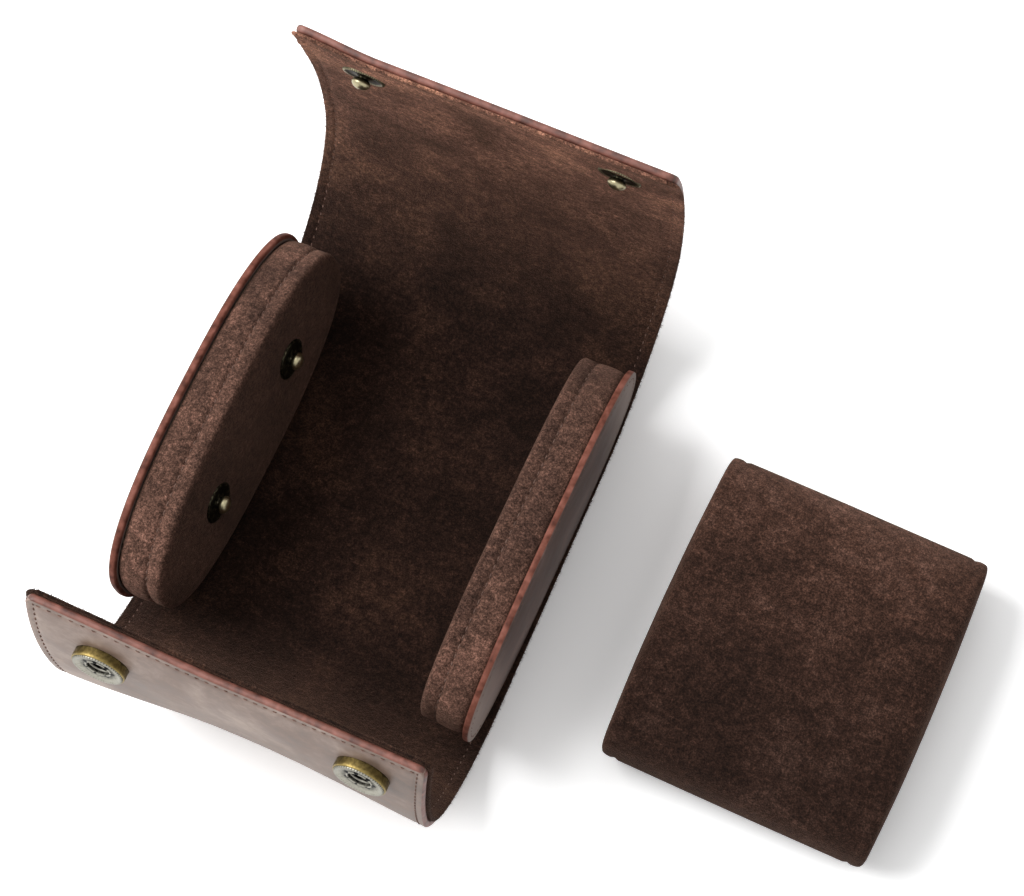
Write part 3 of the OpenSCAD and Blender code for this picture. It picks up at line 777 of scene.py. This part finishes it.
# -------------------------------- boards and foam, out of sight
# Grey board stiffens the caps, and open-cell foam pads them and fills the cushion. All of it is closed in by
# leather and suede, so the CAD shapes take these materials as they are.
def plain(name, shade, rough):
    material, tree = new_material(name)
    speck = node(tree, "TexNoise", {"Scale": 1500.0, "Detail": 3.0}, "Fac")
    share = node(tree, "Math", {0: speck, 1: 0.5}, operation="MULTIPLY")
    base = node(tree, "Mix", {0: share, 6: colour(shade), 7: (0.02, 0.02, 0.02, 1)}, **BETWEEN)
    shader = node(tree, "BsdfPrincipled", {"Base Color": base, "Roughness": rough})
    node(tree, "OutputMaterial", {"Surface": shader})
    return material


def dress(material, *names):
    """Gives a material to CAD nodes."""
    for name in names:
        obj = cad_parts[name]
        for slot in obj.material_slots:
            slot.material = material
        if not obj.material_slots:
            obj.data.materials.append(material)


dress(plain("grey_stiffener_board", "#8f8775", 0.9), "cap_board_left", "cap_board_right")
dress(plain("open_cell_foam", "#e0d8c4", 1.0), "cap_foam_left", "cap_foam_right", "cushion_foam")


# -------------------------------- press studs: their metal
# Antique-plated brass and nickel silver, dark in the hollows and rubbed bright on the edges. The posts, the
# lid studs' outer caps and the cushion's sockets are plain turned shapes, so their CAD shapes take the brass.
PIERCINGS = 7
PIERCED_AT = 3.9
HOLE_R = 2.62


def metal(name, dark, bright, rough, pierced=False, even=False):
    """A plated metal. The attribute "rim" says how far its plating is rubbed bright. An even one takes its
    pattern from the object's own axes and is rubbed alike all over. A pierced one has a ring of small
    openings round a hole, all painted near-black as the shade inside them."""
    material, tree = new_material(name)
    if even:
        own = node(tree, "TexCoord", output="Object")
        place = node(tree, "VectorMath", {0: own, 1: (1000, 1000, 1000)}, operation="MULTIPLY")
        rubbed = 0.6
    else:
        place = rest_place(tree)
        rubbed = node(tree, "Attribute", output="Fac", attribute_name="rim")
    wear = node(tree, "TexNoise", {"Vector": place, "Scale": 1 / 0.7, "Detail": 4}, "Fac")
    polish = weighed(tree, wear, 0.5, rubbed, 0.6)
    base = node(tree, "ValToRGB", {"Fac": polish}, stops=[(0.25, dark), (0.75, bright)])
    gloss = node(tree, "ValToRGB", {"Fac": polish}, stops=[(0.3, rough + 0.2), (0.8, rough)])
    if pierced:
        flat_x, flat_y = (node(tree, "SeparateXYZ", {"Vector": place}, axis) for axis in "XY")
        out = node(tree, "VectorMath", {0: place}, "Value", operation="LENGTH")
        turn = node(tree, "Math", {0: flat_y, 1: flat_x}, operation="ARCTAN2")
        turns = node(tree, "Math", {0: turn, 1: float(PIERCINGS)}, operation="MULTIPLY")
        petals = node(tree, "Math", {0: turns}, operation="COSINE")
        off = node(tree, "Math", {0: out, 1: PIERCED_AT}, operation="SUBTRACT")
        off = node(tree, "Math", {0: off}, operation="ABSOLUTE")
        openings = node(tree, "Math", {0: weighed(tree, petals, 1.0, off, -1.5), 1: 0.25},
                        operation="GREATER_THAN")
        middle = node(tree, "Math", {0: out, 1: HOLE_R}, operation="LESS_THAN")
        shaded_openings = node(tree, "Math", {0: openings, 1: middle}, operation="MAXIMUM")
        # Painted shade: the openings and the hole are coloured near-black.
        base = node(tree, "Mix", {0: shaded_openings, 6: base, 7: (0.004, 0.004, 0.004, 1)}, **BETWEEN)
    shader = node(tree, "BsdfPrincipled", {"Base Color": base, "Metallic": 1.0, "Roughness": gloss})
    node(tree, "OutputMaterial", {"Surface": shader})
    return material


BRASS = metal("antique_plated_brass", "#2b2312", "#94814f", 0.34)
BRASS_CAD = metal("antique_plated_brass_plain", "#2b2312", "#94814f", 0.34, even=True)
STUD_BRASS = metal("pale_antique_brass", "#1d1a13", "#b5ac8b", 0.3)
STEEL = metal("aged_nickel_silver", "#33312d", "#9a978d", 0.3)
PIERCED_STEEL = metal("pierced_nickel_silver", "#1c1a17", "#a8a599", 0.36, pierced=True)
dress(BRASS_CAD, "cap_stud_posts", "lid_stud_caps", "cushion_sockets", "cushion_socket_backs")


# -------------------------------- press studs: their turned faces
# A stud is a ball on a short neck over a reeded flange; on the cap's two, the flange round the ball is
# painted dark, as shade. A socket is a smooth brass ring round a silver-coloured plate with a reeded edge and
# a hole painted near-black as shade, in which a spring ring grips the ball. Its rivet's head shows on the
# lining.
SNAP_X = WRAP_W / 2 - 14.0
STUD_IN = 18.5
SOCKET_IN = 13.4
STUD_RAISED = 0.1
TURNED_AROUND = 112
REEDS = 56
REED_HIGH = 0.07
REED_LIFT = 0.5
REED_SHINE = 6
STUD_REEDS_FROM = 4.4
PLATE_REEDS_FROM = 5.1
BALL_R = 2.3
SHADED_FLANGE_POLISH = -0.4
# Profiles run from the middle out, as (radius, height off the surface that the piece stands on, polish).
STUD_PROFILE = [(0.0, 3.2, 1.0), (0.7, 3.13, 1.0), (1.3, 2.93, 1.0), (1.8, 2.58, 0.9), (2.1, 2.2, 0.8),
                (2.2, 1.85, 0.6), (2.12, 1.5, 0.4), (1.85, 1.15, 0.1), (1.45, 0.9, 0.0), (1.3, 0.7, 0.0),
                (1.6, 0.42, 0.1), (2.6, 0.34, 0.0), (4.1, 0.34, 0.0), (4.4, 0.5, 0.5), (4.75, 0.55, 0.5),
                (5.0, 0.35, 0.1), (5.0, 0.0, 0.0)]
# Painted shade: the cap's two studs take a dark polish on their flange, round the ball, for the shade on the
# cap's face.
SHADED_STUD_PROFILE = [(radius, height, polish if radius < BALL_R else SHADED_FLANGE_POLISH)
                     for radius, height, polish in STUD_PROFILE]
RING_PROFILE = [(5.75, 1.5, 0.0), (5.8, 2.1, 0.2), (5.9, 2.22, 0.6), (6.02, 2.25, 0.8), (6.16, 2.15, 0.8),
                (6.23, 1.95, 0.5), (6.25, 1.5, 0.35), (6.22, 0.8, 0.3), (6.2, 0.3, 0.2), (6.25, 0.0, 0.0)]
# The plate's first two points give the hole a floor, which takes the hole's painted shade.
PLATE_PROFILE = [(0.0, 0.04, 0.0), (2.4, 0.04, 0.0), (2.6, 0.7, 0.0), (2.62, 1.9, 0.1), (2.75, 2.15, 0.7),
                 (2.95, 2.2, 1.0), (3.2, 2.02, 0.2), (3.7, 1.98, 0.4), (4.5, 2.05, 0.7), (5.0, 2.3, 0.9),
                 (5.2, 2.45, 1.0), (5.35, 2.52, 1.0), (5.6, 2.55, 1.0), (5.8, 2.45, 0.7), (5.85, 2.1, 0.1)]
SPRING_PROFILE = [(2.3, 1.1, 0.2), (2.38, 1.4, 0.9), (2.5, 1.45, 1.0), (2.6, 1.2, 0.4)]
BACK_PROFILE = [(0.0, 0.9, 0.8), (2.6, 0.88, 0.8), (3.4, 0.8, 0.7), (4.2, 0.62, 0.5), (4.6, 0.4, 0.2),
                (4.6, -0.3, 0.1)]


def standing(middle, beside, above):
    """A place to stand a fitting: its middle and its three directions, from points beside and above it."""
    up = unit(above - middle)
    aside = unit(beside - middle)
    return middle[0], aside[0], np.cross(up, aside)[0], up[0]


def turned(name, places, profile, material, reeds_from=None):
    """The same turned piece at each place. Points further out than reeds_from are reeded."""
    angles = np.arange(TURNED_AROUND) * 2 * math.pi / TURNED_AROUND
    rings, rims = [], []
    for radius, height, polish in profile:
        reeded = reeds_from is not None and radius > reeds_from
        wave = REED_HIGH * np.cos(REEDS * angles) if reeded else np.zeros(TURNED_AROUND)
        rings.append(np.column_stack([(radius + wave) * np.cos(angles), (radius + wave) * np.sin(angles),
                                      height + wave * REED_LIFT]))
        rims.append(np.clip(polish + wave * REED_SHINE, 0, 1))
    local = np.vstack(rings)
    one = [tuple(reversed(face)) for face in ring_faces(len(profile), TURNED_AROUND)]
    faces, points = [], []
    for k, (middle, aside, ahead, up) in enumerate(places):
        points.append(middle + local @ np.array([aside, ahead, up]))
        faces += [tuple(v + k * len(local) for v in face) for face in one]
    return piece(name, np.vstack(points), faces, material, rest=np.tile(local, (len(places), 1)),
                 rim=np.tile(np.hstack(rims), len(places)))


def strip_places(s, depth, outward):
    """The two places for press studs across the strip, standing outward (-1) or inward (1). Each lies on the
    drawn-out leather where its stud lies on the drawn shape, so that studs and sockets meet when the case is
    shut."""
    places = []
    for x in (-SNAP_X, SNAP_X):
        longer, wider = drawn_out(x, s)
        spot = np.array([(x + wider, s + longer, depth)])
        beside, above = spot + (NEARBY, 0, 0), spot + (0, 0, NEARBY * outward)
        places.append(standing(fold_up(spot), fold_up(beside), fold_up(above)))
    return places


def cap_stud_places():
    y = np.array(STUD_Y)
    deep = np.full(2, CAP_DEPTH + STUD_RAISED)
    middles, besides = cap_place(-1, y, y * 0, deep), cap_place(-1, y + NEARBY, y * 0, deep)
    aboves = cap_place(-1, y, y * 0, deep + NEARBY)
    return [standing(middles[k:k + 1], besides[k:k + 1], aboves[k:k + 1]) for k in range(2)]


sockets = strip_places(-(FLAP_LEN - SOCKET_IN), 0.0, -1)
backs = strip_places(-(FLAP_LEN - SOCKET_IN), WRAP_T, 1)
lid_places = strip_places(LID_LEN - STUD_IN, WRAP_T + STUD_RAISED, 1)
FITTINGS = [
    ("lid_press_studs", lid_places, STUD_PROFILE, STUD_BRASS, STUD_REEDS_FROM, "lid_upper", "lid_studs",
     "stud_brass"),
    ("cap_press_studs", cap_stud_places(), SHADED_STUD_PROFILE, STUD_BRASS, STUD_REEDS_FROM, "base",
     "cap_studs", "stud_brass"),
    ("socket_rings", sockets, RING_PROFILE, BRASS, None, "flap_upper", "socket_cases", "stud_brass"),
    ("socket_plates", sockets, PLATE_PROFILE, PIERCED_STEEL, PLATE_REEDS_FROM, "flap_upper", "socket_faces",
     "stud_nickel"),
    ("socket_spring_rings", sockets, SPRING_PROFILE, STEEL, None, "flap_upper", "socket_springs",
     "stud_nickel"),
    ("socket_rivet_heads", backs, BACK_PROFILE, BRASS, None, "flap_upper", "socket_backs", "stud_brass"),
]
for name, places, profile, material, reeds_from, body, replaced, slot in FITTINGS:
    fitting = turned(name, places, profile, material, reeds_from)
    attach(fitting, body)
    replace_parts(fitting, replaced)


# -------------------------------- the cushion
# A soft roll of foam sewn into suede, which the watch strap closes round. It lies beside the case. The two
# end panels are sewn in, and the thread draws their seams in a little. Its colour is painted darker towards
# the front, as shade, and lighter towards the back, as light.
# Painted light and shade along the cushion: half its colour at the front, 1.35 times at the back.
CUSHION_PAINTED_LIGHT_AND_SHADE = (-36.0, 38.0, 0.5, 1.35)
SUEDE_CUSHION = suede("napped_suede_cushion", "#2c1d17", "#3d2921", "#503930", 0.35, CUSHION_PAINTED_LIGHT_AND_SHADE)
CUSHION_W = 64.6
CUSHION_LEN = 77.0
CUSHION_H = 24.0
CUSHION_POWER = 3.0
CUSHION_AROUND = 120
CUSHION_SEAT = 0.6
CUSHION_TURN = math.radians(-1.4)
CUSHION_SPARE = 0.5
CUSHION_SWELL = 1.6
CUSHION_VOXEL = 2.0
CUSHION_SEAM_IN = 3.2
CUSHION_SEAM_WIDE = 0.5
CUSHION_SEAM_SUNK = 0.35
CUSHION_DENTS = 0.3
FILLING_STEPS = 20
FILLING = {"quality": 6, "mass": 0.25, "tension_stiffness": 12, "compression_stiffness": 12,
           "bending_stiffness": 2.0, "use_pressure": True, "uniform_pressure_force": 4}
cushion_low, cushion_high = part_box("cushion_cover")
CUSHION_MID = (Vector(cushion_low) + Vector(cushion_high)) / 2 / MM


def cushion_block():
    """The cover before it is filled: a rounded block, closed at both ends. It is cut a little larger than the
    cushion, so that the filled and smoothed cover comes out at full size."""
    line, out = rounded(CUSHION_LEN / 2 + CUSHION_SPARE, CUSHION_H / 2 + CUSHION_SPARE, CUSHION_POWER,
                        CUSHION_AROUND)
    half = CUSHION_W / 2 + CUSHION_SPARE
    ends = [(8.5, 0.0), (3.0, 0.0), (0.8, 0.05), (0.3, 0.3), (0.05, 0.8), (0.0, 1.6)]
    rings = [(line - out * step, half - back) for step, back in ends]
    rings += [(line, x) for x in np.linspace(half - 6.0, 0.0, 10)]
    rings += [(ring, -x) for ring, x in reversed(rings[:-1])]
    points = []
    for ring, x in rings:
        z = np.maximum(ring[:, 1] + CUSHION_H / 2 - CUSHION_SEAT, 0.0)
        points.append(np.column_stack([np.full(len(ring), x), ring[:, 0], z]))
    last = (len(rings) - 1) * CUSHION_AROUND
    faces = ring_faces(len(rings), CUSHION_AROUND)
    faces += [tuple(reversed(range(CUSHION_AROUND))), tuple(range(last, last + CUSHION_AROUND))]
    return np.vstack(points), [tuple(reversed(face)) for face in faces]


def worked(obj):
    """A copy of obj's mesh with its modifiers applied, as points in millimetres and faces."""
    shaped = obj.evaluated_get(bpy.context.evaluated_depsgraph_get()).to_mesh()
    points = np.empty(len(shaped.vertices) * 3, np.float32)
    shaped.vertices.foreach_get("co", points)
    faces = [tuple(face.vertices) for face in shaped.polygons]
    return points.reshape(-1, 3) / MM, faces


def filled(points, faces):
    """The cover blown up by its foam: cloth under pressure from inside, and no point moves far."""
    sewn = piece("cushion_work", points, faces, SUEDE_CUSHION)
    even = sewn.modifiers.new("even", "REMESH")
    even.mode, even.voxel_size = "VOXEL", CUSHION_VOXEL * MM
    start, faces = worked(sewn)
    bpy.data.objects.remove(sewn)
    cloth_obj = piece("cushion_work", start, faces, SUEDE_CUSHION)
    cloth = cloth_obj.modifiers.new("filling", "CLOTH")
    for setting, value in FILLING.items():
        setattr(cloth.settings, setting, value)
    cloth.settings.effector_weights.gravity = 0
    for step in range(1, FILLING_STEPS + 1):
        bpy.context.scene.frame_set(step)
    blown, _ = worked(cloth_obj)
    bpy.context.scene.frame_set(1)
    bpy.data.objects.remove(cloth_obj)
    shift = blown - start
    length = np.linalg.norm(shift, axis=1, keepdims=True)
    return start + shift * np.minimum(1.0, CUSHION_SWELL / np.maximum(length, 1e-6)), faces


def cushion_mesh():
    """The filled cover, smoothed, with its seams drawn in and its top a little dented, where it lies."""
    points, faces = filled(*cushion_block())
    soft = piece("cushion_work", points, faces, SUEDE_CUSHION)
    soft.modifiers.new("smooth", "SUBSURF").levels = 1
    points, faces = worked(soft)
    bpy.data.objects.remove(soft)
    points[:, 2] = np.maximum(points[:, 2], 0.0)
    seam_x = CUSHION_W / 2 - CUSHION_SEAM_IN
    seam = np.exp(-((np.abs(points[:, 0]) - seam_x) / CUSHION_SEAM_WIDE) ** 2)
    seam = seam * smooth_step(points[:, 2], 1, 6)
    middle = np.array([0, 0, CUSHION_H / 2])
    away = unit((points - middle) * (0, 1, 1) + (0, 0, 1e-6))
    points -= away * CUSHION_SEAM_SUNK * seam[:, None]
    dents = ripple(points[:, 0] / 16, points[:, 1] / 16, 51)
    points[:, 2] += CUSHION_DENTS * smooth_step(points[:, 2], 4, 20) * dents
    c, s = math.cos(CUSHION_TURN), math.sin(CUSHION_TURN)
    turned_points = np.column_stack([points[:, 0] * c - points[:, 1] * s + CUSHION_MID.x,
                                     points[:, 0] * s + points[:, 1] * c + CUSHION_MID.y, points[:, 2]])
    return piece("cushion_suede", turned_points, faces, SUEDE_CUSHION, rest=points)


cushion = cushion_mesh()
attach(cushion, "cushion")
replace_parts(cushion, "cushion_cover")


# -------------------------------- the table and the light
# A table covered in matt white paper, under a large soft box on the left and a weaker one overhead, with
# white screens all round. What the camera sees of the paper and the screens is set apart from the light
# that they send to the case.
TABLE_HALF = 3.0
PAPER_WHITE = 0.9
PAPER_SEEN = 1.4
SCREEN_LIGHT = 0.5
SCREEN_SEEN = 1.0
SOFT_BOXES = [
    ("key", (-0.93, -0.14, 1.03), (0, 0, 0.02), 0.9, 22),
    ("top_fill", (-0.2, 0.2, 1.7), (0.05, 0, 0), 1.6, 5.4),
]
PAPER, paper_tree = new_material("matt_white_paper")
in_view = node(paper_tree, "LightPath", output="Is Camera Ray")
paper_shade = node(paper_tree, "Mix", {0: in_view, 6: (PAPER_WHITE, PAPER_WHITE, PAPER_WHITE, 1),
                                       7: (PAPER_SEEN, PAPER_SEEN, PAPER_SEEN, 1)}, **BETWEEN)
node(paper_tree, "OutputMaterial", {"Surface": node(paper_tree, "BsdfDiffuse", {"Color": paper_shade})})
table = placed("table_top", bpy.data.meshes.new("table_top"))
corners = [(x * TABLE_HALF, y * TABLE_HALF, 0) for x, y in ((-1, -1), (1, -1), (1, 1), (-1, 1))]
table.data.from_pydata(corners, [], [(0, 1, 2, 3)])
table.data.materials.append(PAPER)

for name, place, aim, size, power in SOFT_BOXES:
    light = bpy.data.lights.new(name, "AREA")
    light.size = size
    light.energy = power
    soft_box = placed(name, light)
    soft_box.location = place
    soft_box.rotation_euler = (Vector(aim) - Vector(place)).to_track_quat("-Z", "Y").to_euler()

world = bpy.data.worlds.new("studio")
bpy.context.scene.world = world
world.use_nodes = True
sky = world.node_tree
sky.nodes.clear()
seen = node(sky, "LightPath", output="Is Camera Ray")
for ray in ("Is Glossy Ray", "Is Transmission Ray"):
    seen = node(sky, "Math", {0: seen, 1: node(sky, "LightPath", output=ray)}, operation="MAXIMUM")
soft = node(sky, "Background", {"Color": (1, 1, 1, 1), "Strength": SCREEN_LIGHT})
white = node(sky, "Background", {"Color": (1, 1, 1, 1), "Strength": SCREEN_SEEN})
node(sky, "OutputWorld", {"Surface": node(sky, "MixShader", {0: seen, 1: soft, 2: white})})
bpy.context.scene.view_settings.view_transform = "Standard"


# -------------------------------- the camera
# A short telephoto on a stand, looking down into the case from in front and from the right.
CAMERA_PLACE = (108.2, -172.8, 638.1)
CAMERA_TILT = 18.85
CAMERA_TURN = 23.30
CAMERA_LENS = 97.58
camera = placed("camera", bpy.data.cameras.new("camera"))
bpy.context.scene.camera = camera
camera.location = Vector(CAMERA_PLACE) * MM
camera.rotation_euler = (math.radians(CAMERA_TILT), 0, math.radians(CAMERA_TURN))
camera.data.sensor_width = 36
camera.data.lens = CAMERA_LENS
camera.data.clip_start = 0.01
